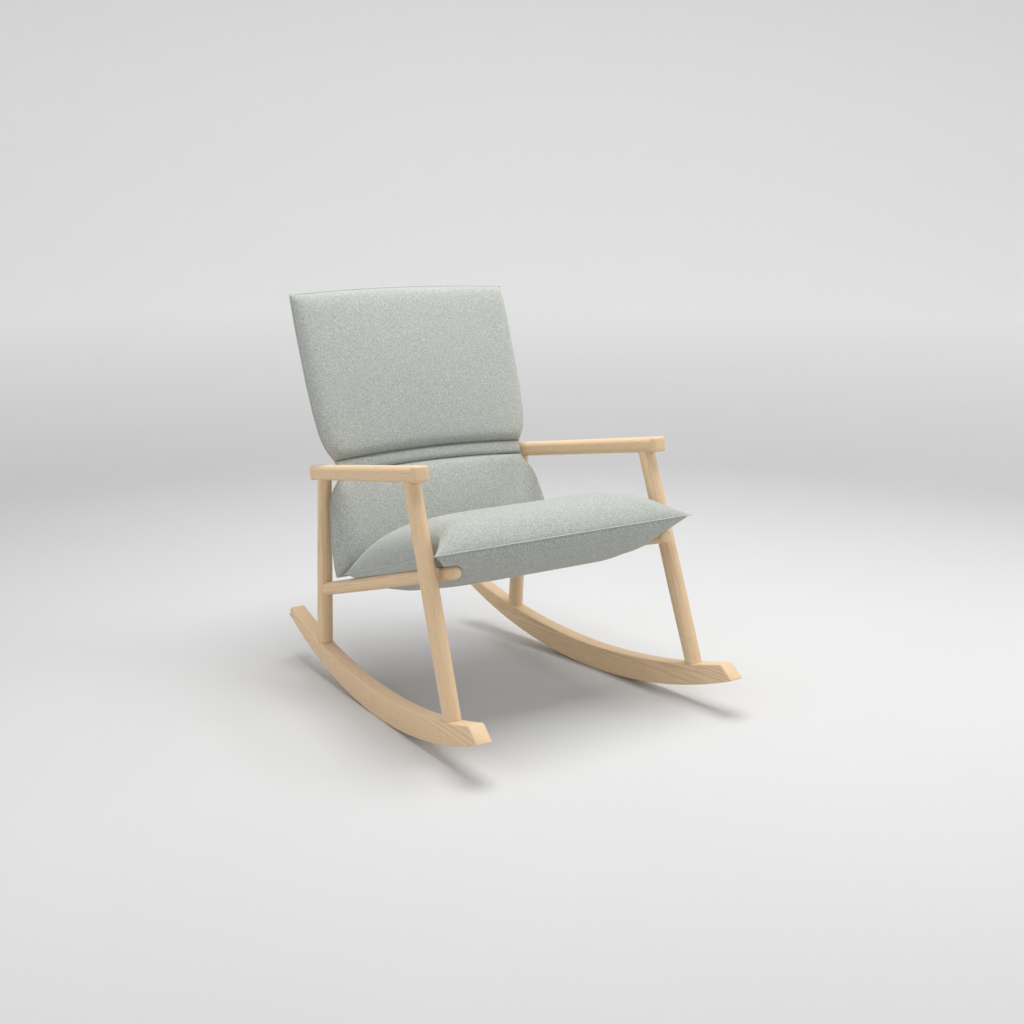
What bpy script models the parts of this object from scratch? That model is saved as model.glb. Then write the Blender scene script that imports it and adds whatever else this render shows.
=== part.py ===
"""Rocking chair: a round-section oak frame on two curved rockers, with an upholstered seat and back.

Metres, +Z up.  The chair faces -Y, stands on z = 0 and is centred on x = 0.  Right and left are
the sitter's, so the right side is at -X.  Each side frame (rocker, front leg, rear post, armrest)
lies in an upright plane, and the two planes spread apart towards the front.
"""
from math import asin, atan, cos, pi, radians, sin, sqrt, tau

import bmesh
import bpy
from mathutils import Matrix, Vector

GAP = 0.0003                      # clearance between pieces that touch
ROUND_STEPS = 20                  # facets round a turned piece

# Side frames
SIDE_HALF_WIDTH = 0.3088          # centre plane of a side frame at y = 0
SIDE_SPREAD = atan(0.0713)        # each plane turns out towards the front by this angle

# Rockers
ROCKER_WIDTH = 0.038
ROCKER_EDGE = 0.003
RUNNER_RADIUS = 1.25              # underside, lowest at y = RUNNER_CENTRE_Y
RUNNER_CENTRE_Y = -0.025
RUNNER_STEP = radians(1.5)
RUNNER_STEPS_FRONT = 14
RUNNER_STEPS_REAR = 15
UPPER_ARC_RADIUS = 1.64           # upper side
UPPER_ARC_CENTRE = (-0.012, 1.70)
UPPER_ARC_STEPS = 20
ROCKER_FRONT = ((-0.456, 0.1215), (-0.492, 0.0916))     # slanted end cut, top and bottom corner
ROCKER_REAR = ((0.479, 0.1410), (0.492, 0.1270))        # small rear end, top and tip

# Front legs and rear posts: axis points as (y, z) in the side plane, radii down the axis
LEG_AXIS = ((-0.358, 0.090), (-0.183, 0.575))
LEG_RADII = ((0.0, 0.0193), (0.35, 0.0200), (1.0, 0.0188))
POST_AXIS = ((0.305, 0.100), (0.2785, 0.524))
POST_RADII = ((0.0, 0.0190), (0.5, 0.0181), (1.0, 0.0165))
TENON_RADIUS = 0.011
TENON_DEPTH = 0.022               # into the rocker
ARM_TENON_RISE = 0.006            # into the armrest, past the axis' end
SHOULDER_GAP = 0.0005             # under a shoulder that stands on the curved rocker

# Armrests
ARM_FRONT = (-0.230, 0.5973)      # (y, z) of the centre line's ends
ARM_REAR = (0.329, 0.5092)
ARM_WIDTH = 0.041
ARM_THICKNESS = 0.035
ARM_CORNER = 0.0105               # rounding of its ends, seen from above
ARM_EDGE = 0.010

# Rails
RAIL_FRONT = (0.2875, -0.304, 0.3966)       # left side rail's ends; it runs inside the leg
RAIL_REAR = (0.290, 0.2825, 0.2282)         # and is saddled on the front of the post
RAIL_RADII = ((0.0, 0.0156), (0.2, 0.0162), (0.45, 0.0165), (0.8, 0.0155), (1.0, 0.0145))
RAIL_DOME = 0.007
CROSS_RADIUS = 0.011
CROSS_TENON_RADIUS = 0.0075
CROSS_TENON_LENGTH = 0.014
FRONT_CROSS_Y = -0.2515           # runs through the side rails into the front legs
REAR_CROSS_Y = 0.100              # stops in the side rails
BACK_CROSS = (0.2842, 0.430)
DOWEL_RADIUS = 0.005
DOWEL_LENGTH = 0.024
DOWEL_SETBACK = 0.005             # its middle, from the side rail's rear end

# Seat: a pillow on a slope, measured as v down the slope from its front seam and n above the seam
SEAT_FRONT = (-0.314, 0.441)
SEAT_SLOPE = radians(17.3)
SEAT_LENGTH = 0.492
SEAT_HALF_WIDTH = 0.300
SEAT_TIP_HALF_WIDTH = 0.350
SEAT_FLARE_LENGTH = 0.054
SEAT_REAR_HALF_WIDTH = 0.307
SEAT_REAR_LENGTH = 0.090
SEAT_CROWN = 0.088
SEAT_BELLY = 0.072
SEAM_HALF = 0.0015                # half the thickness of a pad at its sewn edge
SEAT_SHELL_HALF = 0.225
SEAT_SHELL_V = (0.070, 0.430)
SEAT_SHELL_THICKNESS = 0.008
CROSS_N = -0.0340                 # axis of the seat's cross rails
SEAT_SCREW_X = 0.160

# Back: pads on a leaning plane, measured as w up the plane from its foot
BACK_LEAN = atan(0.3618)
BACK_FOOT = (0.1722, 0.2850)
BACK_HEIGHT = 0.687
WAIST_W = (0.2480, 0.2810)        # lower and upper edge of the waist band
WAIST_HALF_WIDTH = 0.2670
LOWER_HALF_WIDTHS = ((0.0, 0.320), (0.033, 0.320), (0.083, 0.316), (0.130, 0.309),
                     (0.180, 0.300), (0.203, 0.290), (0.215, 0.279), (0.225, 0.2675), (0.2477, 0.2670))
UPPER_HALF_WIDTHS = ((0.2813, 0.2670), (0.292, 0.275), (0.3135, 0.287), (0.345, 0.296),
                     (0.400, 0.302), (0.480, 0.3055), (0.600, 0.3065), (0.687, 0.305))
TOP_EDGE_RISE = 0.009
UPPER_CROWN = 0.042
LOWER_CROWN = 0.034
REAR_CROWN = 0.026
BAND_THICKNESS = 0.013
BACK_SHELL_HALF = 0.200
BACK_SHELL_W = (0.060, 0.600)
BACK_SHELL_THICKNESS = 0.008
BOLT_X = 0.120
BOLT_RADIUS = 0.003
BOLT_HEAD_RADIUS = 0.0065
BOLT_HEAD_HEIGHT = 0.003
SPACER_RADIUS = 0.009


# ---------------------------------------------------------------- scene, materials, placing

def clear_scene():
    for old in list(bpy.data.objects):
        bpy.data.objects.remove(old, do_unlink=True)


def new_collection(name):
    collection = bpy.data.collections.new(name)
    bpy.context.scene.collection.children.link(collection)
    return collection


def principled(name, colour, roughness, metallic=0.0):
    material = bpy.data.materials.new(name)
    material.use_nodes = True
    shader = material.node_tree.nodes["Principled BSDF"]
    shader.inputs["Base Color"].default_value = (*colour, 1.0)
    shader.inputs["Roughness"].default_value = roughness
    shader.inputs["Metallic"].default_value = metallic
    return material


def add_object(name, mesh, material=None, parent=None):
    """Link a mesh as a named part, or as a hidden cutter when it has no material."""
    obj = bpy.data.objects.new(name, mesh)
    if material is None:
        cutters.objects.link(obj)
        obj.hide_render = True
        obj.display_type = "WIRE"
    else:
        chair.objects.link(obj)
        mesh.materials.clear()
        mesh.materials.append(material)
    obj.parent = parent
    return obj


def aim(obj, start, direction):
    obj.location = start
    obj.rotation_euler = Vector(direction).to_track_quat("Z", "Y").to_euler()
    return obj


def boolean(obj, other, operation="DIFFERENCE"):
    modifier = obj.modifiers.new(f"{operation.lower()} {other.name}", "BOOLEAN")
    modifier.object = other
    modifier.operation = operation
    modifier.solver = "EXACT"


def turned(name, profile, material=None, parent=None, steps=ROUND_STEPS):
    """A turned solid about local Z; the profile's (radius, z) points run from top to bottom."""
    mesh = bpy.data.meshes.new(name)
    points = [(radius, 0.0, z) for radius, z in profile]
    mesh.from_pydata(points, [(i, i + 1) for i in range(len(points) - 1)], [])
    obj = add_object(name, mesh, material, parent)
    screw = obj.modifiers.new("turn", "SCREW")
    screw.angle = tau
    screw.steps = steps
    screw.render_steps = steps
    screw.use_merge_vertices = True
    screw.merge_threshold = 0.00001
    return obj


def rod(name, start, end, radius, grow=0.0, material=None, parent=None, steps=ROUND_STEPS):
    """A plain round rod from start to end; grow widens it and lengthens both ends."""
    start, end = Vector(start), Vector(end)
    length = (end - start).length
    profile = [(0.0, length + grow), (radius + grow, length + grow), (radius + grow, -grow), (0.0, -grow)]
    return aim(turned(name, profile, material, parent, steps), start, end - start)


def flat_shape(name, outline, half_thickness, edge, matrix, material=None, parent=None, edge_steps=2):
    """An outline in the XY plane, thickened both ways with rounded edges, then turned by matrix."""
    curve = bpy.data.curves.new(name, "CURVE")
    curve.dimensions = "2D"
    curve.fill_mode = "BOTH"
    curve.extrude = half_thickness - edge
    curve.bevel_depth = edge
    curve.bevel_resolution = edge_steps
    curve.offset = -edge
    spline = curve.splines.new("POLY")
    spline.points.add(len(outline) - 1)
    for point, (x, y) in zip(spline.points, outline):
        point.co = (x, y, 0.0, 1.0)
    spline.use_cyclic_u = True
    guide = bpy.data.objects.new(name + " outline", curve)
    cutters.objects.link(guide)
    bpy.context.view_layer.update()
    evaluated = guide.evaluated_get(bpy.context.evaluated_depsgraph_get())
    mesh = bpy.data.meshes.new_from_object(evaluated)
    bpy.data.objects.remove(guide, do_unlink=True)
    shape = bmesh.new()
    shape.from_mesh(mesh)
    bmesh.ops.remove_doubles(shape, verts=shape.verts, dist=0.00002)
    bmesh.ops.transform(shape, matrix=matrix, verts=shape.verts)
    bmesh.ops.recalc_face_normals(shape, faces=shape.faces)
    shape.to_mesh(mesh)
    shape.free()
    mesh.shade_smooth()
    mesh.set_sharp_from_angle(angle=radians(30))
    return add_object(name, mesh, material, parent)


def block(name, size, matrix, material=None, parent=None):
    """A box of the given size, its middle placed by matrix."""
    mesh = bpy.data.meshes.new(name)
    shape = bmesh.new()
    bmesh.ops.create_cube(shape, size=1.0)
    bmesh.ops.scale(shape, vec=size, verts=shape.verts)
    bmesh.ops.transform(shape, matrix=matrix, verts=shape.verts)
    shape.to_mesh(mesh)
    shape.free()
    return add_object(name, mesh, material, parent)


def read_off(table, at):
    """Linear reading of a table of (place, value) pairs."""
    for (a, first), (b, second) in zip(table, table[1:]):
        if at <= b:
            share = min(1.0, max(0.0, (at - a) / (b - a)))
            return first + (second - first) * share
    return table[-1][1]


# ---------------------------------------------------------------- side frames

def in_plane(y, z):
    """The point of a side plane, in its empty's space, that has this y and z in the chair."""
    return Vector((0.0, y / cos(SIDE_SPREAD), z))


def upper_arc_z(y):
    centre_y, centre_z = UPPER_ARC_CENTRE
    return centre_z - sqrt(UPPER_ARC_RADIUS ** 2 - (y - centre_y) ** 2)


def rocker_outline():
    """(y, z) round the rocker: underside arc, rear end, upper arc, front end.

    The underside has a facet centred on its lowest line, which the chair stands on.
    """
    points = []
    facet_drop = RUNNER_RADIUS * cos(RUNNER_STEP / 2)
    for i in range(-RUNNER_STEPS_FRONT, RUNNER_STEPS_REAR + 1):
        angle = (i - 0.5) * RUNNER_STEP
        y = RUNNER_CENTRE_Y + RUNNER_RADIUS * sin(angle)
        points.append((y, facet_drop - RUNNER_RADIUS * cos(angle)))
    points.append(ROCKER_REAR[1])
    points.append(ROCKER_REAR[0])
    front_y, rear_y = ROCKER_FRONT[0][0], ROCKER_REAR[0][0]
    for i in range(1, UPPER_ARC_STEPS):
        y = rear_y + (front_y - rear_y) * i / UPPER_ARC_STEPS
        points.append((y, upper_arc_z(y)))
    points.append(ROCKER_FRONT[0])
    points.append(ROCKER_FRONT[1])
    return [(y / cos(SIDE_SPREAD), z) for y, z in points]


UPRIGHT = Matrix(((0, 0, 1, 0), (1, 0, 0, 0), (0, 1, 0, 0), (0, 0, 0, 1)))   # outline XY -> side plane YZ


def make_rocker(side, parent):
    return flat_shape(f"{side}_rocker", rocker_outline(), ROCKER_WIDTH / 2, ROCKER_EDGE, UPRIGHT,
                      oak, parent, edge_steps=1)


def rounded_bar(length, width, corner, steps=5):
    """(x, y) round a flat bar with rounded corners; its ends are at x = 0 and x = length."""
    points = []
    for quarter, (x, y) in enumerate(((length - corner, width / 2 - corner), (corner, width / 2 - corner),
                                      (corner, corner - width / 2), (length - corner, corner - width / 2))):
        for i in range(steps + 1):
            angle = pi / 2 * (quarter + i / steps)
            points.append((x + corner * cos(angle), y + corner * sin(angle)))
    return points


def make_armrest(name, parent, material=None, grow=0.0):
    front, rear = in_plane(*ARM_FRONT), in_plane(*ARM_REAR)
    along = (rear - front).normalized()
    across = Vector((1.0, 0.0, 0.0))
    up = across.cross(along)
    start = front - along * grow
    matrix = Matrix.Translation(start) @ Matrix((along, -across, up)).transposed().to_4x4()
    outline = rounded_bar((rear - front).length + 2 * grow, ARM_WIDTH + 2 * grow, ARM_CORNER + grow)
    return flat_shape(name, outline, ARM_THICKNESS / 2 + grow, ARM_EDGE + grow, matrix, material, parent)


def point_on(axis, fraction):
    start, end = in_plane(*axis[0]), in_plane(*axis[1])
    return start + (end - start) * fraction


def barrel(name, axis, radii, parent, material=None, grow=0.0):
    """The tapered round body of a leg or post, running a little way into what it meets."""
    start, end = point_on(axis, 0.0), point_on(axis, 1.0)
    length = (end - start).length
    body = [(radius + grow, length * fraction) for fraction, radius in reversed(radii)]
    profile = [(0.0, body[0][1])] + body + [(0.0, body[-1][1])]
    return aim(turned(name, profile, material, parent), start, end - start)


def foot_of(axis):
    """Where the axis of a leg or post meets the rocker's upper side, and the slope there."""
    fraction = 0.0
    for _ in range(30):
        point = point_on(axis, fraction)
        drop = point.z - upper_arc_z(point.y * cos(SIDE_SPREAD))
        fraction -= drop / (point_on(axis, 1.0) - point_on(axis, 0.0)).z
    point = point_on(axis, fraction)
    slope = asin((point.y * cos(SIDE_SPREAD) - UPPER_ARC_CENTRE[0]) / UPPER_ARC_RADIUS)
    return point, slope


def make_upright(name, axis, radii, parent, arm_cutter):
    """A leg or post: its barrel stops at the rocker and the armrest, and a tenon enters each."""
    piece = barrel(name, axis, radii, parent, oak)
    foot, slope = foot_of(axis)
    direction = (point_on(axis, 1.0) - point_on(axis, 0.0)).normalized()
    under = Matrix.Translation(foot) @ Matrix.Rotation(slope, 4, "X")
    under = under @ Matrix.Translation((0.0, 0.0, SHOULDER_GAP - 0.1))
    boolean(piece, block(name + " shoulder", (0.2, 0.2, 0.2), under, parent=parent))
    boolean(piece, arm_cutter)
    top = point_on(axis, 1.0) + direction * ARM_TENON_RISE
    bottom = foot - direction * TENON_DEPTH
    boolean(piece, rod(name + " tenons", bottom, top, TENON_RADIUS, parent=parent), "UNION")
    return piece, rod(name + " mortises", bottom, top, TENON_RADIUS, GAP, parent=parent)


def make_side(side, sign):
    plane = bpy.data.objects.new(f"{side} side plane", None)
    chair.objects.link(plane)
    plane.location = (sign * SIDE_HALF_WIDTH, 0.0, 0.0)
    plane.rotation_euler = (0.0, 0.0, sign * SIDE_SPREAD)

    rocker = make_rocker(side, plane)
    armrest = make_armrest(f"{side}_armrest", plane, oak)
    arm_cutter = make_armrest(f"{side} armrest seat", plane, grow=GAP)
    leg, leg_mortises = make_upright(f"{side}_front_leg", LEG_AXIS, LEG_RADII, plane, arm_cutter)
    post, post_mortises = make_upright(f"{side}_rear_post", POST_AXIS, POST_RADII, plane, arm_cutter)
    for mortises in (leg_mortises, post_mortises):
        boolean(rocker, mortises)
        boolean(armrest, mortises)

    rail = make_side_rail(f"{side}_side_rail", sign, oak)
    boolean(rail, barrel(f"{side} post saddle", POST_AXIS, POST_RADII, plane, grow=GAP))
    return {"leg": leg, "post": post, "rail": rail}


# ---------------------------------------------------------------- rails and dowels

def along_rail(y):
    """Share of the side rail's length, from its rear end, at this y."""
    return (y - RAIL_REAR[1]) / (RAIL_FRONT[1] - RAIL_REAR[1])


def rail_x(y):
    return RAIL_REAR[0] + (RAIL_FRONT[0] - RAIL_REAR[0]) * along_rail(y)


def rail_inner_face(y):
    return rail_x(y) - read_off(RAIL_RADII, along_rail(y))


def domed(length, radii, dome, steps=4):
    """Profile of a tapered round bar from z = length down to 0 with softly domed ends."""
    points = []
    for i in range(steps):
        angle = pi / 2 * i / steps
        points.append((radii[-1][1] * sin(angle), length - dome + dome * cos(angle)))
    for share, radius in reversed(radii):
        points.append((radius, min(length - dome, max(dome, share * length))))
    for i in range(1, steps + 1):
        angle = pi / 2 * i / steps
        points.append((radii[0][1] * cos(angle), dome - dome * sin(angle)))
    return points


def rail_ends(sign):
    return Vector((sign * RAIL_REAR[0], *RAIL_REAR[1:])), Vector((sign * RAIL_FRONT[0], *RAIL_FRONT[1:]))


def make_side_rail(name, sign, material=None, grow=0.0):
    """A side rail; grow widens it into a cutter that clears the rail."""
    rear, front = rail_ends(sign)
    radii = [(share, radius + grow) for share, radius in RAIL_RADII]
    profile = domed((front - rear).length, radii, RAIL_DOME)
    return aim(turned(name, profile, material), rear, front - rear)


def cross_profile(shoulder, tip, grow=0.0):
    """Profile of a cross rail with a round tenon at each end, its middle at z = 0."""
    return [(0.0, tip + grow), (CROSS_TENON_RADIUS + grow, tip + grow),
            (CROSS_TENON_RADIUS + grow, shoulder + grow), (CROSS_RADIUS + grow, shoulder + grow),
            (CROSS_RADIUS + grow, -shoulder - grow), (CROSS_TENON_RADIUS + grow, -shoulder - grow),
            (CROSS_TENON_RADIUS + grow, -tip - grow), (0.0, -tip - grow)]


def make_cross_rail(name, y, z, shoulder, tip, joined):
    """A cross rail at this y and z, its tenons running from the shoulder to the tip in the joined pieces."""
    sizes = (shoulder - GAP, tip)
    rail = aim(turned(name, cross_profile(*sizes), oak), (0.0, y, z), (1.0, 0.0, 0.0))
    mortise = aim(turned(name + " mortises", cross_profile(*sizes, GAP)), (0.0, y, z), (1.0, 0.0, 0.0))
    for piece in joined:
        boolean(piece, mortise)
    return rail, mortise


def side_plane_x(y):
    return SIDE_HALF_WIDTH - y * sin(SIDE_SPREAD) / cos(SIDE_SPREAD)


def make_dowels(sides):
    """Hidden dowels along the side rails' axes that join them to the rear posts."""
    for side, sign in SIDES:
        rear, front = rail_ends(sign)
        along = (front - rear).normalized()
        middle = rear + along * DOWEL_SETBACK
        ends = (middle - along * DOWEL_LENGTH / 2, middle + along * DOWEL_LENGTH / 2)
        rod(f"{side}_rail_dowel", *ends, DOWEL_RADIUS, material=oak, steps=16)
        hole = rod(f"{side} dowel hole", *ends, DOWEL_RADIUS, GAP, steps=16)
        boolean(sides[side]["post"], hole)
        boolean(sides[side]["rail"], hole)


# ---------------------------------------------------------------- upholstery

def sliced_box(columns, rows):
    """A box from -1 to 1 cut across X and Y, closer together towards its edges."""
    shape = bmesh.new()
    bmesh.ops.create_cube(shape, size=2.0)
    for count, normal in ((columns, Vector((1, 0, 0))), (rows, Vector((0, 1, 0)))):
        for i in range(1, count):
            at = sin(pi / 2 * (2 * i / count - 1)) * 0.5 + (2 * i / count - 1) * 0.5
            geometry = shape.verts[:] + shape.edges[:] + shape.faces[:]
            bmesh.ops.bisect_plane(shape, geom=geometry, plane_co=normal * at, plane_no=normal)
    return shape


def make_pad(name, columns, rows, place, material):
    """A pad: the sliced box with each corner (s, t, r) moved to place(s, t, r)."""
    shape = sliced_box(columns, rows)
    for vertex in shape.verts:
        vertex.co = place(*vertex.co)
    bmesh.ops.recalc_face_normals(shape, faces=shape.faces)
    mesh = bpy.data.meshes.new(name)
    shape.to_mesh(mesh)
    shape.free()
    mesh.shade_smooth()
    mesh.set_sharp_from_angle(angle=radians(50))
    return add_object(name, mesh, material)


def bulge(s, t, side_power=3.0, end_power=4.0):
    """1 in the middle of a pad and 0 along its sewn edges."""
    across = max(0.0, 1 - abs(s) ** side_power) ** 0.7
    along = max(0.0, 1 - abs(t) ** end_power) ** 0.6
    return across * along


def seat_point(x, v, n):
    """Seat coordinates to the chair: v runs back and down the slope, n is square to it."""
    y = SEAT_FRONT[0] + v * cos(SEAT_SLOPE) + n * sin(SEAT_SLOPE)
    z = SEAT_FRONT[1] - v * sin(SEAT_SLOPE) + n * cos(SEAT_SLOPE)
    return Vector((x, y, z))


def seat_half_width(v):
    front = max(0.0, 1 - v / SEAT_FLARE_LENGTH)
    rear = max(0.0, 1 - (SEAT_LENGTH - v) / SEAT_REAR_LENGTH)
    return (SEAT_HALF_WIDTH + (SEAT_TIP_HALF_WIDTH - SEAT_HALF_WIDTH) * front
            + (SEAT_REAR_HALF_WIDTH - SEAT_HALF_WIDTH) * rear)


def seat_upper(s, t, r):
    v = SEAT_LENGTH * (t + 1) / 2
    height = 2 * SEAM_HALF + SEAT_CROWN * bulge(s, t) if r > 0 else GAP / 2
    return seat_point(s * seat_half_width(v), v, height)


def seat_lower(s, t, r):
    v = SEAT_LENGTH * (t + 1) / 2
    height = -2 * SEAM_HALF - SEAT_BELLY * bulge(s, t) if r < 0 else -GAP / 2
    return seat_point(s * seat_half_width(v), v, height)


def seat_matrix(v, n):
    slope = Matrix.Rotation(-SEAT_SLOPE, 4, "X")
    return Matrix.Translation(seat_point(0.0, v, n)) @ slope


def make_seat(cross_mortises):
    """Two sewn pads with a foam core and a plywood shell between them; the shell is screwed down."""
    make_pad("seat_cushion", 14, 12, seat_upper, wool)
    underpad = make_pad("seat_underpad", 14, 12, seat_lower, wool)
    v0, v1 = SEAT_SHELL_V
    size = Vector((2 * SEAT_SHELL_HALF, v1 - v0, SEAT_SHELL_THICKNESS))
    middle_v = (v0 + v1) / 2
    shell_top = CROSS_N + CROSS_RADIUS + GAP + SEAT_SHELL_THICKNESS
    shell_n = shell_top - SEAT_SHELL_THICKNESS / 2
    shell = block("seat_shell", size, seat_matrix(middle_v, shell_n), plywood)

    core_bottom = shell_top + GAP
    core_top = -GAP
    core_size = Vector((size.x, size.y, core_top - core_bottom))
    block("seat_foam_core", core_size, seat_matrix(middle_v, (core_top + core_bottom) / 2), foam)

    pocket_bottom = shell_top - SEAT_SHELL_THICKNESS - GAP
    pocket_size = Vector((size.x + 2 * GAP, size.y + 2 * GAP, -pocket_bottom + 0.001))
    pocket = block("seat pocket", pocket_size, seat_matrix(middle_v, (pocket_bottom + 0.001) / 2))
    boolean(underpad, pocket)
    for mortise in cross_mortises:
        boolean(underpad, mortise)
    for side, sign in SIDES:
        boolean(underpad, make_side_rail(f"{side} rail groove", sign, grow=GAP))
    return underpad, shell, shell_top


def screw_profile(length, head_radius, radius, head_height, grow=0.0):
    """A countersunk screw hanging down from z = 0."""
    return [(0.0, grow), (head_radius + grow, grow), (radius + grow, -head_height - grow),
            (radius + grow, -length - grow), (0.0, -length - grow)]


def make_seat_screws(underpad, shell, shell_top, cross_rails):
    """Countersunk screws through the shell into the two cross rails."""
    sizes = (0.026, 0.0045, 0.0020, 0.003)
    up = seat_point(0, 0, 1) - seat_point(0, 0, 0)
    for row, rail in cross_rails.items():
        v = (rail.location.y - SEAT_FRONT[0] - CROSS_N * sin(SEAT_SLOPE)) / cos(SEAT_SLOPE)
        for side, sign in SIDES:
            place = seat_point(sign * SEAT_SCREW_X, v, shell_top)
            aim(turned(f"{side}_{row}_seat_screw", screw_profile(*sizes), steel, steps=16), place, up)
            hole = turned(f"{side} {row} screw hole", screw_profile(*sizes, GAP), steps=16)
            aim(hole, place, up)
            boolean(shell, hole)
            boolean(rail, hole)
            boolean(underpad, hole)


# Back

def back_point(x, w, n):
    """Back coordinates to the chair: w runs up the leaning plane, n is forwards and square to it."""
    y = BACK_FOOT[0] + w * sin(BACK_LEAN) - n * cos(BACK_LEAN)
    z = BACK_FOOT[1] + w * cos(BACK_LEAN) + n * sin(BACK_LEAN)
    return Vector((x, y, z))


def top_edge(s, w):
    """Lifts the top edge into a shallow arc."""
    upper = max(0.0, (w - WAIST_W[1]) / (BACK_HEIGHT - WAIST_W[1]))
    return w + TOP_EDGE_RISE * (1 - s * s) * upper


def front_pad(low, high, table, crown):
    def place(s, t, r):
        w = low + (high - low) * (t + 1) / 2
        n = 2 * SEAM_HALF + crown * bulge(s, t, 3.0, 4.0) if r > 0 else GAP / 2
        return back_point(s * read_off(table, w), top_edge(s, w), n)
    return place


def waist_band(s, t, r):
    w = WAIST_W[0] + (WAIST_W[1] - WAIST_W[0]) * (t + 1) / 2
    n = 2 * SEAM_HALF + BAND_THICKNESS * bulge(s, t, 8.0, 4.0) if r > 0 else GAP / 2
    return back_point(s * WAIST_HALF_WIDTH, w, n)


def rear_pad(s, t, r):
    w = BACK_HEIGHT * (t + 1) / 2
    half_width = read_off(LOWER_HALF_WIDTHS + UPPER_HALF_WIDTHS, w)
    n = -2 * SEAM_HALF - REAR_CROWN * bulge(s, t, 3.0, 5.0) if r > 0 else -GAP / 2
    return back_point(s * half_width, top_edge(s, w), n)


def back_matrix(w, n):
    """Local X across, Y up the plane, Z forwards."""
    across = Vector((1, 0, 0))
    up = back_point(0, 1, 0) - back_point(0, 0, 0)
    turn = Matrix((across, up, across.cross(up))).transposed().to_4x4()
    return Matrix.Translation(back_point(0, w, n)) @ turn


def make_back(back_rail):
    """Front pads, waist band and rear pad round a plywood shell, bolted through to the back rail."""
    make_pad("upper_back_pad", 14, 12,
             front_pad(WAIST_W[1] + GAP, BACK_HEIGHT, UPPER_HALF_WIDTHS, UPPER_CROWN), wool)
    make_pad("lower_back_pad", 14, 10,
             front_pad(0.0, WAIST_W[0] - GAP, LOWER_HALF_WIDTHS, LOWER_CROWN), wool)
    make_pad("waist_band", 14, 4, waist_band, wool)
    rear = make_pad("rear_back_pad", 12, 26, rear_pad, wool)

    w0, w1 = BACK_SHELL_W
    size = Vector((2 * BACK_SHELL_HALF, w1 - w0, BACK_SHELL_THICKNESS))
    shell_front = -GAP
    middle_w = (w0 + w1) / 2
    shell = block("back_shell", size, back_matrix(middle_w, shell_front - size.z / 2), plywood)
    pocket_size = Vector((size.x + 2 * GAP, size.y + 2 * GAP, size.z + 2 * GAP + 0.001))
    pocket_n = shell_front + GAP + 0.001 - pocket_size.z / 2
    pocket = block("back pocket", pocket_size, back_matrix(middle_w, pocket_n))
    boolean(rear, pocket)

    # Two bolts, square to the back, run from behind the back rail through a spacer into the shell.
    cross_y, cross_z = BACK_CROSS
    forwards = back_point(0, 0, 1) - back_point(0, 0, 0)
    offset = Vector((0.0, cross_y - BACK_FOOT[0], cross_z - BACK_FOOT[1]))
    up = back_point(0, 1, 0) - back_point(0, 0, 0)
    rail_w, rail_n = offset.dot(up), offset.dot(forwards)
    spacer_ends = (rail_n + CROSS_RADIUS + GAP, shell_front - size.z - GAP)
    spacer_low = spacer_ends[0] + SHOULDER_GAP
    spacer_length = spacer_ends[1] - spacer_low
    hole_radius = BOLT_RADIUS + GAP
    spacer = [(hole_radius, spacer_length), (SPACER_RADIUS, spacer_length), (SPACER_RADIUS, 0.0),
              (hole_radius, 0.0), (hole_radius, spacer_length)]
    bolt_low = rail_n - CROSS_RADIUS - GAP
    bolt_length = shell_front - 0.002 - bolt_low
    bolt = [(0.0, bolt_length), (BOLT_RADIUS, bolt_length), (BOLT_RADIUS, 0.0), (BOLT_HEAD_RADIUS, 0.0),
            (BOLT_HEAD_RADIUS, -BOLT_HEAD_HEIGHT), (0.0, -BOLT_HEAD_HEIGHT)]
    for side, sign in SIDES:
        x = sign * BOLT_X
        start, end = back_point(x, rail_w, bolt_low), back_point(x, rail_w, bolt_low + bolt_length)
        low, high = back_point(x, rail_w, spacer_low), back_point(x, rail_w, spacer_ends[1])
        aim(turned(f"{side}_back_bolt", bolt, steel, steps=16), start, forwards)
        aim(turned(f"{side}_back_spacer", spacer, oak, steps=16), low, forwards)
        hole = rod(f"{side} bolt hole", start, end, BOLT_RADIUS, GAP, steps=16)
        boolean(back_rail, hole)
        boolean(shell, hole)
        boolean(rear, rod(f"{side} spacer hole", low, high, SPACER_RADIUS, GAP, steps=16))


# ---------------------------------------------------------------- the chair

clear_scene()
chair = new_collection("rocking_chair")
cutters = new_collection("cutters")
oak = principled("oak", (0.66, 0.46, 0.27), 0.5)
plywood = principled("plywood", (0.62, 0.47, 0.30), 0.6)
wool = principled("wool", (0.42, 0.46, 0.44), 0.95)
foam = principled("foam", (0.86, 0.84, 0.76), 0.9)
steel = principled("steel", (0.55, 0.55, 0.55), 0.35, 1.0)

SIDES = (("right", -1), ("left", 1))
frames = {side: make_side(side, sign) for side, sign in SIDES}
rails = [frames[side]["rail"] for side, _ in SIDES]
posts = [frames[side]["post"] for side, _ in SIDES]
legs = [frames[side]["leg"] for side, _ in SIDES]


def seat_rail_z(y):
    """Height of a seat cross rail at this y, CROSS_N under the seam plane."""
    v = (y - SEAT_FRONT[0] - CROSS_N * sin(SEAT_SLOPE)) / cos(SEAT_SLOPE)
    return seat_point(0.0, v, CROSS_N).z


def leg_tenon_tip(y):
    return side_plane_x(y) - LEG_RADII[1][1] + CROSS_TENON_LENGTH


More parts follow.
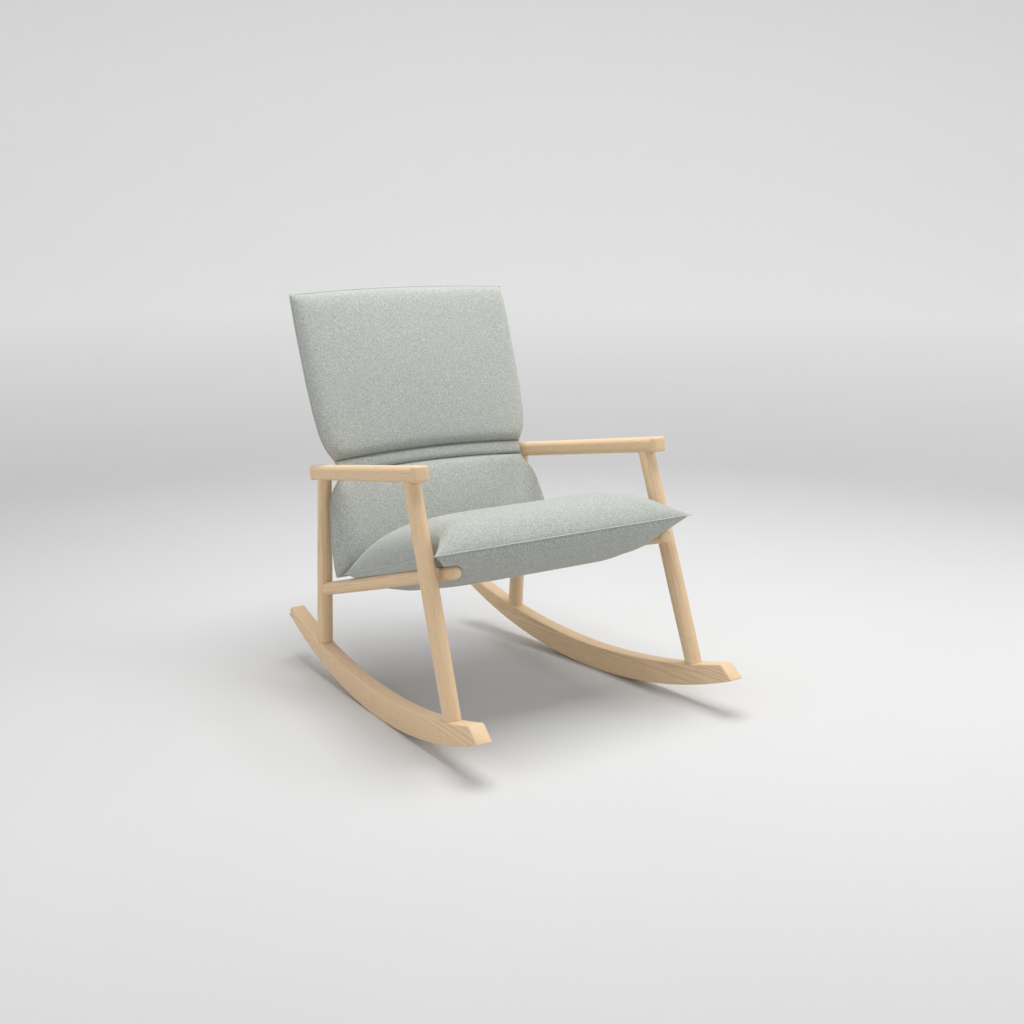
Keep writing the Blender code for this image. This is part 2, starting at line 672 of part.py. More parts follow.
front_cross, front_mortise = make_cross_rail(
    "front_cross_rail", FRONT_CROSS_Y, seat_rail_z(FRONT_CROSS_Y),
    rail_inner_face(FRONT_CROSS_Y), leg_tenon_tip(FRONT_CROSS_Y), rails + legs)
rear_cross, rear_mortise = make_cross_rail(
    "rear_cross_rail", REAR_CROSS_Y, seat_rail_z(REAR_CROSS_Y),
    rail_inner_face(REAR_CROSS_Y), rail_inner_face(REAR_CROSS_Y) + CROSS_TENON_LENGTH, rails)
post_inner_face = side_plane_x(BACK_CROSS[0]) - POST_RADII[1][1]
back_cross, _ = make_cross_rail(
    "back_cross_rail", *BACK_CROSS, post_inner_face, post_inner_face + CROSS_TENON_LENGTH, posts)
make_dowels(frames)
seat_underpad, seat_shell, seat_shell_top = make_seat((front_mortise, rear_mortise))
make_seat_screws(seat_underpad, seat_shell, seat_shell_top, {"front": front_cross, "rear": rear_cross})
make_back(back_cross)
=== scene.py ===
"""Looks of the rocking chair: fine oak pieces, sewn wool upholstery, floor, light and camera.

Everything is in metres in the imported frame: the chair faces -Y, stands on z = 0 and is centred
on x = 0.  Right and left are the sitter's, so the right side is at -X.
"""
from math import atan, cos, pi, radians, sin, sqrt, tanh, tau

import bmesh
import bpy
from mathutils import Matrix, Vector


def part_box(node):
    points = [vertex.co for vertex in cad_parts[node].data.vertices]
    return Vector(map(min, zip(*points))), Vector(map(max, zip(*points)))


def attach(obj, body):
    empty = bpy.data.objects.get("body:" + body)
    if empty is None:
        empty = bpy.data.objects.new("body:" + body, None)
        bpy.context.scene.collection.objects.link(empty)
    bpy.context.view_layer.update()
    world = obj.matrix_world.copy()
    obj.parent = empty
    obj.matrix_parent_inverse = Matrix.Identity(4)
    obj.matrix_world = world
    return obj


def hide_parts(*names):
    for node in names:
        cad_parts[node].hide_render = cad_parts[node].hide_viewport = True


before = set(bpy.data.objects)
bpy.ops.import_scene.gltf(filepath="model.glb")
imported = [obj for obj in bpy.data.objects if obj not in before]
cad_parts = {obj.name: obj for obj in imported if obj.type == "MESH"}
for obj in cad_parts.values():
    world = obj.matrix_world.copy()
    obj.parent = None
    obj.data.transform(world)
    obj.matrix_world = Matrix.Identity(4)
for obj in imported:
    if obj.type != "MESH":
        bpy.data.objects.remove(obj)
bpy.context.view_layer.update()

BODY = "root"
SIDES = (("right", -1), ("left", 1))

# Side frames: each lies in an upright plane that turns out towards the front
SIDE_HALF_WIDTH = 0.3088
SIDE_SPREAD = atan(0.0713)

# Rockers: radii and centres of the lower and upper arcs, corners of the end cuts as (y, z)
ROCKER_WIDTH = 0.038
ROCKER_EDGE = 0.0035
RUNNER_RADIUS = 1.25
RUNNER_CENTRE_Y = -0.025
UPPER_ARC_RADIUS = 1.64
UPPER_ARC_CENTRE = (-0.012, 1.70)
ROCKER_FRONT = ((-0.456, 0.1215), (-0.492, 0.0916))
ROCKER_REAR = ((0.479, 0.1410), (0.492, 0.1270))

# Legs and posts: ends of the axis as (y, z), and radii along it
LEG_AXIS = ((-0.358, 0.090), (-0.183, 0.575))
LEG_RADII = ((0.0, 0.0193), (0.35, 0.0200), (1.0, 0.0188))
POST_AXIS = ((0.305, 0.100), (0.2785, 0.524))
POST_RADII = ((0.0, 0.0190), (0.5, 0.0181), (1.0, 0.0165))
JOINT_GAP = 0.0003

# Armrests
ARM_FRONT = (-0.230, 0.5973)
ARM_REAR = (0.329, 0.5092)
ARM_WIDTH = 0.041
ARM_THICKNESS = 0.035
ARM_CORNER = 0.0105               # rounding of its ends, seen from above
ARM_EDGE = 0.012                  # rounding along its length
ARM_END_EDGE = 0.006              # rounding round its ends
ARM_END_CHANGE = (0.009, 0.015)   # where one rounding turns into the other, from each end

# Side rails (left one) and cross rails
RAIL_FRONT = (0.2875, -0.304, 0.3966)
RAIL_REAR = (0.290, 0.2825, 0.2282)
RAIL_RADII = ((0.0, 0.0156), (0.2, 0.0162), (0.45, 0.0165), (0.8, 0.0155), (1.0, 0.0145))
RAIL_DOME = 0.007
CROSS_RADIUS = 0.011

# Seat pillow: v runs down the slope from the front seam, n is square to the seam's plane
SEAT_FRONT = (-0.314, 0.441)
SEAT_SLOPE = radians(17.3)
SEAT_LENGTH = 0.492
SEAT_HALF_WIDTH = 0.300
SEAT_TIP_HALF_WIDTH = 0.350
SEAT_FLARE_LENGTH = 0.060
SEAT_REAR_HALF_WIDTH = 0.307
SEAT_REAR_LENGTH = 0.090
SEAT_FLARE_POWERS = (1.3, 8)      # along the seam, and across towards it
SEAT_CROWN = 0.088
SEAT_BELLY = 0.066
SEAT_BELLY_LOSS = 0.12            # share of it that is lost from the middle to the rear
SEAT_TOP_POWERS = (9.0, 3.0, 4.5)      # across in the middle, its loss to the rear, and along
SEAT_BELLY_POWERS = (10.0, 0.0, 4.5)

# Back: w runs up the leaning plane from its foot, n is forwards and square to it
BACK_LEAN = atan(0.3618)
BACK_FOOT = (0.1722, 0.2850)
BACK_HEIGHT = 0.687
WAIST_W = (0.2480, 0.2810)
LOWER_HALF_WIDTHS = ((0.0, 0.320), (0.033, 0.320), (0.083, 0.316), (0.130, 0.309),
                     (0.180, 0.300), (0.203, 0.292), (0.217, 0.283), (0.228, 0.273), (0.236, 0.268),
                     (0.2477, 0.2670))
UPPER_HALF_WIDTHS = ((0.2813, 0.2670), (0.292, 0.275), (0.3135, 0.287), (0.345, 0.296),
                     (0.400, 0.302), (0.480, 0.3055), (0.600, 0.3065), (0.687, 0.305))
WAIST_RISE = 0.0037               # of the waist seams in the middle
WAIST_DROP = 0.0070               # of the same at the sides
TOP_EDGE_RISE = 0.009
UPPER_FOAM = (0.031, 0.012, 20.0, (24.0, 12.0))   # rim height, dome height, powers across and along
LOWER_FOAM = (0.024, 0.012, 18.0, (8.0, 16.0))
BAND_FOAM = (0.012, 0.002, 24.0, (4.0, 4.0))
REAR_FOAM = (-0.016, -0.010, 14.0, (14.0, 14.0))
FLAT = (0.0, 0.0, 2.0, (2.0, 2.0))

# Sewn edges
CORD_STEPS = 10
BACK_CORD_RADIUS = 0.0009
SEAT_CORD_RADIUS = 0.0014

# Cloth simulation: grid of each pad, most that its cloth swells, and how full it is packed
SEAT_GRID = (120, 96)
SEAT_SWELL = 0.003
SEAT_FILL = 0.9
BACK_FILL = 0.85
CLOTH_PRESSURE = 4.0
CLOTH_THICKNESS = 0.0012
CLOTH_FRAMES = 20

# Colours, linear
OAK_LIGHT = (0.87, 0.665, 0.445)
OAK_MID = (0.81, 0.59, 0.37)
OAK_DARK = (0.60, 0.41, 0.235)
OAK_PORE = (0.42, 0.27, 0.15)
WOOL_DARK = (0.248, 0.262, 0.245)
WOOL_MID = (0.395, 0.413, 0.387)
WOOL_LIGHT = (0.60, 0.62, 0.59)
PLY_LIGHT = (0.62, 0.48, 0.33)
PLY_DARK = (0.48, 0.34, 0.21)
PLY_FIGURE = (0.70, 0.56, 0.40)
ZINC_DARK = (0.50, 0.50, 0.49)
ZINC_LIGHT = (0.64, 0.64, 0.62)
FLOOR_DARK = (0.645, 0.645, 0.645)
FLOOR_LIGHT = (0.655, 0.655, 0.655)
WALL = (0.88, 0.88, 0.88)

# Oak figure, per metre of timber
RINGS_PER_METRE = 290.0
RING_WANDER = 0.020

collection = bpy.context.scene.collection


# ---------------------------------------------------------------- materials

class Tree:
    """Builds a material's nodes: make(kind, inputs, settings) returns the node."""

    def __init__(self, name):
        self.material = bpy.data.materials.new(name)
        self.material.use_nodes = True
        self.nodes = self.material.node_tree.nodes
        self.links = self.material.node_tree.links
        self.shader = self.nodes["Principled BSDF"]

    def put(self, socket, value):
        if isinstance(value, bpy.types.NodeSocket):
            self.links.new(value, socket)
        elif hasattr(socket.default_value, "__len__") and len(socket.default_value) == 4:
            socket.default_value = (*value, 1.0)
        else:
            socket.default_value = value

    def make(self, kind, inputs=None, **settings):
        node = self.nodes.new("ShaderNode" + kind)
        for name, value in settings.items():
            setattr(node, name, value)
        for name, value in (inputs or {}).items():
            self.put(node.inputs[name], value)
        return node

    def maths(self, operation, a, b=0.0):
        return self.make("Math", {0: a, 1: b}, operation=operation).outputs[0]

    def stretched(self, vector, scale):
        return self.make("Mapping", {"Vector": vector, "Scale": scale}).outputs[0]

    def noise(self, vector, scale, detail=2.0, roughness=0.5):
        node = self.make("TexNoise", {"Vector": vector, "Scale": scale, "Detail": detail,
                                      "Roughness": roughness})
        return node.outputs["Fac"]

    def span(self, value, low, high, to_low=0.0, to_high=1.0):
        inputs = {"Value": value, "From Min": low, "From Max": high, "To Min": to_low, "To Max": to_high}
        return self.make("MapRange", inputs).outputs[0]

    def ramp(self, factor, stops):
        node = self.make("ValToRGB", {"Fac": factor})
        elements = node.color_ramp.elements
        elements[0].position, elements[0].color = stops[0][0], (*stops[0][1], 1.0)
        elements[1].position, elements[1].color = stops[-1][0], (*stops[-1][1], 1.0)
        for position, colour in stops[1:-1]:
            elements.new(position).color = (*colour, 1.0)
        return node.outputs["Color"]

    def mix(self, factor, a, b):
        return self.make("Mix", {0: factor, 6: a, 7: b}, data_type="RGBA").outputs[2]

    def finish(self, colour, roughness, height, strength, distance):
        """Joins colour, roughness and a bump height to the shader."""
        self.put(self.shader.inputs["Base Color"], colour)
        self.put(self.shader.inputs["Roughness"], roughness)
        bump = self.make("Bump", {"Height": height, "Strength": strength, "Distance": distance})
        self.put(self.shader.inputs["Normal"], bump.outputs[0])
        return self.material


def oak_material():
    """Pale soaped oak: growth rings round a pith, pores and fibres along the grain attribute's Z."""
    t = Tree("oak")
    grain = t.make("Attribute", attribute_name="grain").outputs["Vector"]
    long_way = t.stretched(grain, (1.0, 1.0, 0.07))
    warp = t.noise(long_way, 16.0, 3.0)
    parts = t.make("SeparateXYZ", {0: grain}).outputs
    squares = [t.maths("MULTIPLY", part, part) for part in parts[:2]]
    distance = t.maths("SQRT", t.maths("ADD", *squares))
    radius = t.maths("ADD", distance, t.maths("MULTIPLY", warp, RING_WANDER))
    ring = t.maths("FRACT", t.maths("MULTIPLY", radius, RINGS_PER_METRE))
    base = t.ramp(ring, [(0.0, OAK_MID), (0.12, OAK_LIGHT), (0.55, OAK_LIGHT), (0.86, OAK_DARK),
                         (1.0, OAK_MID)])
    patch = t.noise(long_way, 22.0, 2.0)
    toned = t.mix(t.span(patch, 0.35, 0.65, 0.30, 0.75), base, OAK_MID)
    fibre = t.noise(t.stretched(grain, (1.0, 1.0, 0.02)), 850.0, 4.0, 0.6)
    fibred = t.mix(t.span(fibre, 0.35, 0.75, 0.0, 0.42), toned, OAK_DARK)
    pores = t.noise(t.stretched(grain, (1.0, 1.0, 0.045)), 620.0, 1.0)
    early = t.span(ring, 0.10, 0.45, 1.0, 0.25)
    pore_mask = t.maths("MULTIPLY", t.span(pores, 0.60, 0.70), early)
    colour = t.mix(t.maths("MULTIPLY", pore_mask, 0.55), fibred, OAK_PORE)
    t.shader.inputs["Specular IOR Level"].default_value = 0.35
    height = t.maths("SUBTRACT", t.maths("MULTIPLY", fibre, 0.4), t.maths("MULTIPLY", pore_mask, 0.8))
    return t.finish(colour, t.span(fibre, 0.3, 0.7, 0.46, 0.60), height, 0.30, 0.0003)


def wool_material():
    """Grey-green melange wool: light and dark fibres in a fine felted weave."""
    t = Tree("wool_melange")
    place = t.make("TexCoord").outputs["Object"]
    fleck = t.noise(place, 340.0, 3.0, 0.65)
    fine = t.noise(place, 800.0, 2.0, 0.6)
    cloud = t.noise(place, 38.0, 3.0, 0.6)
    blend = t.maths("ADD", t.maths("MULTIPLY", fleck, 0.65), t.maths("MULTIPLY", fine, 0.35))
    base = t.ramp(blend, [(0.36, WOOL_DARK), (0.50, WOOL_MID), (0.64, WOOL_LIGHT)])
    colour = t.mix(t.span(cloud, 0.3, 0.7, 0.0, 0.3), base, WOOL_MID)
    t.shader.inputs["Specular IOR Level"].default_value = 0.15
    t.shader.inputs["Sheen Weight"].default_value = 0.30
    t.shader.inputs["Sheen Roughness"].default_value = 0.55
    t.shader.inputs["Sheen Tint"].default_value = (0.90, 0.93, 0.88, 1.0)
    return t.finish(colour, t.span(fine, 0.3, 0.7, 0.88, 1.0), blend, 0.55, 0.0012)


def seam_material():
    """The wool of the sewn edge, with the twist of its thread."""
    t = Tree("wool_seam")
    place = t.make("TexCoord").outputs["Object"]
    fibre = t.noise(place, 900.0, 3.0, 0.6)
    twist = t.make("TexWave", {"Vector": place, "Scale": 260.0, "Distortion": 1.5},
                   bands_direction="DIAGONAL").outputs["Fac"]
    colour = t.ramp(fibre, [(0.3, WOOL_MID), (0.7, WOOL_LIGHT)])
    t.shader.inputs["Sheen Weight"].default_value = 0.25
    height = t.maths("ADD", t.maths("MULTIPLY", twist, 0.6), fibre)
    return t.finish(colour, t.span(fibre, 0.3, 0.7, 0.85, 1.0), height, 0.5, 0.0005)


def plywood_material():
    """Birch plywood: thin layers through its thickness, faint figure along them."""
    t = Tree("plywood_layers")
    place = t.make("TexCoord").outputs["Object"]
    layers = t.make("TexWave", {"Vector": place, "Scale": 190.0, "Distortion": 0.6},
                    bands_direction="Z").outputs["Fac"]
    figure = t.noise(t.stretched(place, (1.0, 0.08, 1.0)), 300.0, 3.0)
    base = t.ramp(layers, [(0.2, PLY_LIGHT), (0.6, PLY_DARK)])
    colour = t.mix(t.span(figure, 0.3, 0.7, 0.0, 0.4), base, PLY_FIGURE)
    return t.finish(colour, t.span(figure, 0.3, 0.7, 0.55, 0.7), figure, 0.2, 0.0003)


def steel_material():
    """Zinc-plated steel with fine turning marks."""
    t = Tree("zinc_steel")
    place = t.make("TexCoord").outputs["Object"]
    marks = t.noise(place, 1800.0, 2.0)
    colour = t.ramp(marks, [(0.3, ZINC_DARK), (0.7, ZINC_LIGHT)])
    t.shader.inputs["Metallic"].default_value = 1.0
    return t.finish(colour, t.span(marks, 0.3, 0.7, 0.28, 0.42), marks, 0.1, 0.0001)


def paper_material():
    """The matt pale floor and lighter wall, very slightly mottled."""
    t = Tree("studio_floor")
    place = t.make("TexCoord").outputs["Object"]
    mottle = t.noise(place, 1.5, 2.0)
    height = t.make("SeparateXYZ", {0: place}).outputs[2]
    floor = t.ramp(mottle, [(0.3, FLOOR_DARK), (0.7, FLOOR_LIGHT)])
    colour = t.mix(t.span(height, 0.0, 0.6), floor, WALL)
    t.shader.inputs["Specular IOR Level"].default_value = 0.1
    return t.finish(colour, t.span(mottle, 0.0, 1.0, 0.85, 0.95), mottle, 0.02, 0.0005)


oak = oak_material()
wool = wool_material()
seam_wool = seam_material()
plywood = plywood_material()
steel = steel_material()


# ---------------------------------------------------------------- building helpers

def read_off(table, at):
    """Linear reading of a table of (place, value) pairs."""
    for (a, first), (b, second) in zip(table, table[1:]):
        if at <= b:
            share = min(1.0, max(0.0, (at - a) / (b - a)))
            return first + (second - first) * share
    return table[-1][1]


def smooth_share(low, high, at):
    """0 below low and 1 above high, with a smooth change between them."""
    share = min(1.0, max(0.0, (at - low) / (high - low)))
    return share * share * (3 - 2 * share)


def soft_reading(table, at, reach):
    """The table's reading, averaged over a short stretch either side, so that it has no corners."""
    steps = 9
    offsets = [reach * (2 * i / (steps - 1) - 1) for i in range(steps)]
    return sum(read_off(table, at + offset) for offset in offsets) / steps


def add_piece(name, shape, material, nodes=(), sharp_angle=40):
    """Turns a bmesh into a piece that rides on the chair and stands for the named nodes."""
    bmesh.ops.recalc_face_normals(shape, faces=shape.faces)
    mesh = bpy.data.meshes.new(name)
    shape.to_mesh(mesh)
    shape.free()
    mesh.materials.append(material)
    mesh.shade_smooth()
    mesh.set_sharp_from_angle(angle=radians(sharp_angle))
    piece = bpy.data.objects.new(name, mesh)
    collection.objects.link(piece)
    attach(piece, BODY)
    if nodes:
        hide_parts(*nodes)
    return piece


def skin(rings, capped=True):
    """A bmesh through closed rings of points; each end is closed with one face."""
    shape = bmesh.new()
    rows = [[shape.verts.new(point) for point in points] for points in rings]
    for first, second in zip(rows, rows[1:]):
        for i in range(len(first)):
            j = (i + 1) % len(first)
            shape.faces.new((first[i], first[j], second[j], second[i]))
    if capped:
        shape.faces.new(rows[0])
        shape.faces.new(rows[-1])
    return shape


def add_oak(node, rings):
    """An oak piece through the rings, in place of the node of that name."""
    return add_piece(node + "_oak", skin(rings), oak, [node])


def set_grain(piece, origin, along, pith, start=0.0):
    """Stores each vertex's place in the timber: across the rings in X and Y, along the grain in Z.

    pith is how far the piece's origin lies from the middle of the tree, in the chair's axes.
    """
    along = Vector(along).normalized()
    out = Vector(pith)
    out -= along * out.dot(along)
    side = along.cross(out).normalized()
    distance = out.length
    out = out.normalized()
    origin = Vector(origin)
    values = []
    for vertex in piece.data.vertices:
        offset = vertex.co - origin
        values.extend((offset.dot(out) + distance, offset.dot(side), offset.dot(along) + start))
    piece.data.attributes.new("grain", "FLOAT_VECTOR", "POINT").data.foreach_set("vector", values)


def side_matrix(sign):
    turn = Matrix.Rotation(sign * SIDE_SPREAD, 4, "Z")
    return Matrix.Translation((sign * SIDE_HALF_WIDTH, 0.0, 0.0)) @ turn


def in_plane(y, z):
    """The point of a side plane that has this y and z in the chair."""
    return Vector((0.0, y / cos(SIDE_SPREAD), z))


def placed(rings, matrix):
    return [[matrix @ point for point in points] for points in rings]


def square_to(direction):
    """Two unit vectors square to the direction and to each other."""
    side = direction.cross(Vector((0.0, 0.0, 1.0)))
    if side.length < 0.2:
        side = direction.cross(Vector((1.0, 0.0, 0.0)))
    side.normalize()
    return side, direction.cross(side)


def circle(centre, direction, radius, steps=64):
    side, up = square_to(direction)
    angles = [tau * i / steps for i in range(steps)]
    return [centre + (side * cos(angle) + up * sin(angle)) * radius for angle in angles]


def round_bar(start, end, radii, dome=0.0, rows=48, steps=64, dome_rows=10):
    """Rings of a round bar; radii is a table along its length, and dome rounds both ends."""
    start, end = Vector(start), Vector(end)
    length = (end - start).length
    direction = (end - start) / length
    turns = [pi / 2 * (i + 0.3) / dome_rows for i in range(dome_rows)] if dome else []
    places = [(dome * (1 - cos(turn)), radii[0][1] * sin(turn)) for turn in turns]
    for i in range(rows + 1):
        distance = dome + (length - 2 * dome) * i / rows
        places.append((distance, soft_reading(radii, distance / length, 0.05)))
    places += [(length - dome * (1 - cos(turn)), radii[-1][1] * sin(turn)) for turn in reversed(turns)]
    return [circle(start + direction * distance, direction, radius, steps) for distance, radius in places]


# ---------------------------------------------------------------- side frames

def upper_arc_z(y):
    centre_y, centre_z = UPPER_ARC_CENTRE
    return centre_z - sqrt(UPPER_ARC_RADIUS ** 2 - (y - centre_y) ** 2)


def runner_z(y):
    return RUNNER_RADIUS - sqrt(RUNNER_RADIUS ** 2 - (y - RUNNER_CENTRE_Y) ** 2)


def rounded_section(low, high, half_width, edge, inset=0.0, corner_steps=5):
    """A rounded rectangle between two points of the side plane, its width along X."""
    up = (high - low).normalized()
    across = Vector((1.0, 0.0, 0.0))
    middle = (low + high) / 2
    half_height = (high - low).length / 2 - inset
    half_width -= inset
    edge = max(0.0002, edge - inset * 0.5)
    points = []
    for quarter in range(4):
        corner = ((1, 1), (-1, 1), (-1, -1), (1, -1))[quarter]
        for i in range(corner_steps + 1):
            angle = pi / 2 * (quarter + i / corner_steps)
            x = corner[0] * (half_width - edge) + edge * cos(angle)
            z = corner[1] * (half_height - edge) + edge * sin(angle)
            points.append(middle + across * x + up * z)
    return points


def rocker_rings(rows=150):
    """Rings from the front cut to the rear one; both cuts have softened edges."""
    rings = []
    ends = ((0.0, 0.0025), (0.0010, 0.0008), (0.0025, 0.0))
    length = ROCKER_REAR[0][0] - ROCKER_FRONT[0][0]
    shares = [distance / length for distance, _ in ends]
    shares += [i / rows for i in range(1, rows)]
    shares += [1 - distance / length for distance, _ in reversed(ends)]
    insets = [inset for _, inset in ends] + [0.0] * (rows - 1) + [inset for _, inset in reversed(ends)]
    for share, inset in zip(shares, insets):
        low_y = ROCKER_FRONT[1][0] + (ROCKER_REAR[1][0] - ROCKER_FRONT[1][0]) * share
        high_y = ROCKER_FRONT[0][0] + (ROCKER_REAR[0][0] - ROCKER_FRONT[0][0]) * share
        low, high = in_plane(low_y, runner_z(low_y)), in_plane(high_y, upper_arc_z(high_y))
        rings.append(rounded_section(low, high, ROCKER_WIDTH / 2, ROCKER_EDGE, inset))
    return rings


def armrest_rings(rows=60, end_rows=16):
    """Rings along the armrest, which is rounded along its length and less so at its ends."""
    front, rear = in_plane(*ARM_FRONT), in_plane(*ARM_REAR)
    length = (rear - front).length
    along = (rear - front) / length
    up = Vector((1.0, 0.0, 0.0)).cross(along)
    near = [ARM_CORNER * (1 - cos(pi / 2 * i / end_rows)) for i in range(end_rows)]
    near += [ARM_CORNER + 0.001 * i for i in range(6)]
    middle_start = near[-1] + 0.002
    middle_length = length - 2 * middle_start
    places = near + [middle_start + middle_length * i / rows for i in range(rows + 1)]
    places += [length - distance for distance in reversed(near)]
    rings = []
    for place in places:
        distance = min(place, length - place)
        short = max(0.0, ARM_CORNER - distance)
        half_width = ARM_WIDTH / 2 - ARM_CORNER + sqrt(ARM_CORNER ** 2 - short ** 2)
        over = max(0.0, ARM_END_EDGE - distance)
        half_height = ARM_THICKNESS / 2 - ARM_END_EDGE + sqrt(ARM_END_EDGE ** 2 - over ** 2)
        share = smooth_share(*ARM_END_CHANGE, distance)
        edge = ARM_END_EDGE + (ARM_EDGE - ARM_END_EDGE) * share
        middle = front + along * place
        rings.append(rounded_section(middle - up * half_height, middle + up * half_height, half_width,
                                     min(edge, half_width * 0.98), corner_steps=7))
    return rings, along


def arm_underside(x, y):
    """Height of the armrest's underside in the side plane, over its rounded edges too."""
    front, rear = in_plane(*ARM_FRONT), in_plane(*ARM_REAR)
    slope = (rear.z - front.z) / (rear.y - front.y)
    over_edge = max(0.0, abs(x) - (ARM_WIDTH / 2 - ARM_EDGE))
    rise = ARM_EDGE - sqrt(max(0.0, ARM_EDGE ** 2 - over_edge ** 2))
    return front.z + slope * (y - front.y) - (ARM_THICKNESS / 2 - rise) * sqrt(1 + slope * slope)


def upright_rings(axis, radii, rows=48, steps=64):
    """Rings of a leg or post, its ends shaped to the rocker's top and the armrest's underside."""
    start, end = in_plane(*axis[0]), in_plane(*axis[1])
    direction = (end - start).normalized()
    length = (end - start).length
    side, up = square_to(direction)
    columns = []
    for i in range(steps):
        spoke = side * cos(tau * i / steps) + up * sin(tau * i / steps)

        def surface(distance):
            return start + direction * distance + spoke * soft_reading(radii, distance / length, 0.04)

        low, high = 0.0, length
        for _ in range(12):
            point = surface(low)
            low += (upper_arc_z(point.y * cos(SIDE_SPREAD)) + JOINT_GAP - point.z) / direction.z
            point = surface(high)
            high += (arm_underside(point.x, point.y) - JOINT_GAP - point.z) / direction.z
        columns.append([surface(low + (high - low) * row / rows) for row in range(rows + 1)])
    return [[column[row] for column in columns] for row in range(rows + 1)], start, direction


def rail_ends(sign):
    return Vector((sign * RAIL_REAR[0], *RAIL_REAR[1:])), Vector((sign * RAIL_FRONT[0], *RAIL_FRONT[1:]))


def make_side(side, sign):
    """One side frame; each piece is cut from its own place in the timber, so their figures differ."""
    matrix = side_matrix(sign)
    turn = matrix.to_3x3()
    outward = Vector((sign, 0.0, 0.0))

    rocker = add_oak(f"{side}_rocker", placed(rocker_rings(), matrix))
    set_grain(rocker, matrix @ Vector((0, 0, 0.1)), turn @ Vector((0, 1, 0)),
              outward * 0.085 + Vector((0, 0, 0.03 * sign)), 0.4 + sign * 0.9)

    rings, along = armrest_rings()
    armrest = add_oak(f"{side}_armrest", placed(rings, matrix))
    set_grain(armrest, matrix @ in_plane(*ARM_FRONT), turn @ along, (0.012 * sign, 0.0, 0.070), 2.3 + sign)

    for word, axis, radii, pith in (("front_leg", LEG_AXIS, LEG_RADII, (0.05 * sign, 0.05, 0.0)),
                                    ("rear_post", POST_AXIS, POST_RADII, (0.055 * sign, -0.04, 0.0))):
        rings, start, direction = upright_rings(axis, radii)
        upright = add_oak(f"{side}_{word}", placed(rings, matrix))
        set_grain(upright, matrix @ start, turn @ direction, pith, 5.1 + sign * 1.7)

    rear, front = rail_ends(sign)
    rail = add_oak(f"{side}_side_rail", round_bar(rear, front, RAIL_RADII, RAIL_DOME, rows=80))
    set_grain(rail, rear, front - rear, (0.05 * sign, 0.0, 0.05), 8.0 + sign * 1.3)


def make_cross_rails():
    """The three hidden cross rails, each as long as its node."""
    for name in ("front_cross_rail", "rear_cross_rail", "back_cross_rail"):
        low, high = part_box(name)
        y, z = (low[1] + high[1]) / 2, (low[2] + high[2]) / 2
        ends = Vector((low[0], y, z)), Vector((high[0], y, z))
        bar = add_oak(name, round_bar(*ends, ((0.0, CROSS_RADIUS), (1.0, CROSS_RADIUS)), rows=4))
        set_grain(bar, ends[0], (1, 0, 0), (0.0, 0.04, 0.05), 11.0 + y)


# ---------------------------------------------------------------- upholstery

def foam_height(s, t, rim, dome, side_power, end_powers):
    """Height of a foam pad over its sewn edge: a rounded rim, and a shallow dome between the rims.

    The rim is sharper for a higher power; end_powers holds the lower and the upper end's.
    """
    end_power = end_powers[0] if t < 0 else end_powers[1]
    edge = sqrt(max(0.0, 1 - abs(s) ** side_power) * max(0.0, 1 - abs(t) ** end_power))
    return rim * edge + dome * (1 - s * s) * (1 - t * t)


def spaced(count):
    """Places from -1 to 1, closer together towards the ends."""
    even = [2 * i / count - 1 for i in range(count + 1)]
    return [0.55 * sin(pi / 2 * at) + 0.45 * at for at in even]


def pillow(columns, rows, front, back):
    """A bmesh of two sheets, front(s, t) and back(s, t), that share their sewn edge."""
    shape = bmesh.new()
    across, along = spaced(columns), spaced(rows)
    sheets = []
    for sheet, other in ((front, None), (back, 0)):
        grid = []
        for j, t in enumerate(along):
            line = []
            for i, s in enumerate(across):
                edge = i in (0, columns) or j in (0, rows)
                shared = edge and other is not None
                line.append(sheets[0][j][i] if shared else shape.verts.new(sheet(s, t)))
            grid.append(line)
        sheets.append(grid)
        for j in range(rows):
            for i in range(columns):
                corners = [grid[j][i], grid[j][i + 1], grid[j + 1][i + 1], grid[j + 1][i]]
                shape.faces.new(corners if other is None else corners[::-1])
    return shape


def inflate(piece, held, cap):
    """Swells a pad by cloth simulation; held vertices stay, and no point moves further than cap."""
    scene = bpy.context.scene
    group = piece.vertex_groups.new(name="held")
    group.add(held, 1.0, "REPLACE")
    modifier = piece.modifiers.new("swell", "CLOTH")
    settings = modifier.settings
    settings.quality = 6
    settings.use_pressure = True
    settings.uniform_pressure_force = CLOTH_PRESSURE
    settings.effector_weights.gravity = 0.0
    settings.vertex_group_mass = "held"
    settings.tension_stiffness = 12.0
    settings.compression_stiffness = 12.0
    settings.shear_stiffness = 6.0
    settings.bending_stiffness = 1.5
    modifier.collision_settings.use_collision = False
    modifier.point_cache.frame_start = 1
    modifier.point_cache.frame_end = CLOTH_FRAMES
    for number in range(1, CLOTH_FRAMES + 1):
        scene.frame_set(number)
    evaluated = piece.evaluated_get(bpy.context.evaluated_depsgraph_get())
    after = [vertex.co.copy() for vertex in evaluated.data.vertices]
    piece.modifiers.remove(modifier)
    piece.vertex_groups.remove(group)
    for vertex, place in zip(piece.data.vertices, after):
        move = place - vertex.co
        if move.length > 1e-7:
            vertex.co += move * (cap * tanh(move.length / cap) / move.length)
    piece.data.update()
    scene.frame_set(1)


def subdivide(piece):
    modifier = piece.modifiers.new("fine", "SUBSURF")
    modifier.levels = 1
    modifier.render_levels = 1


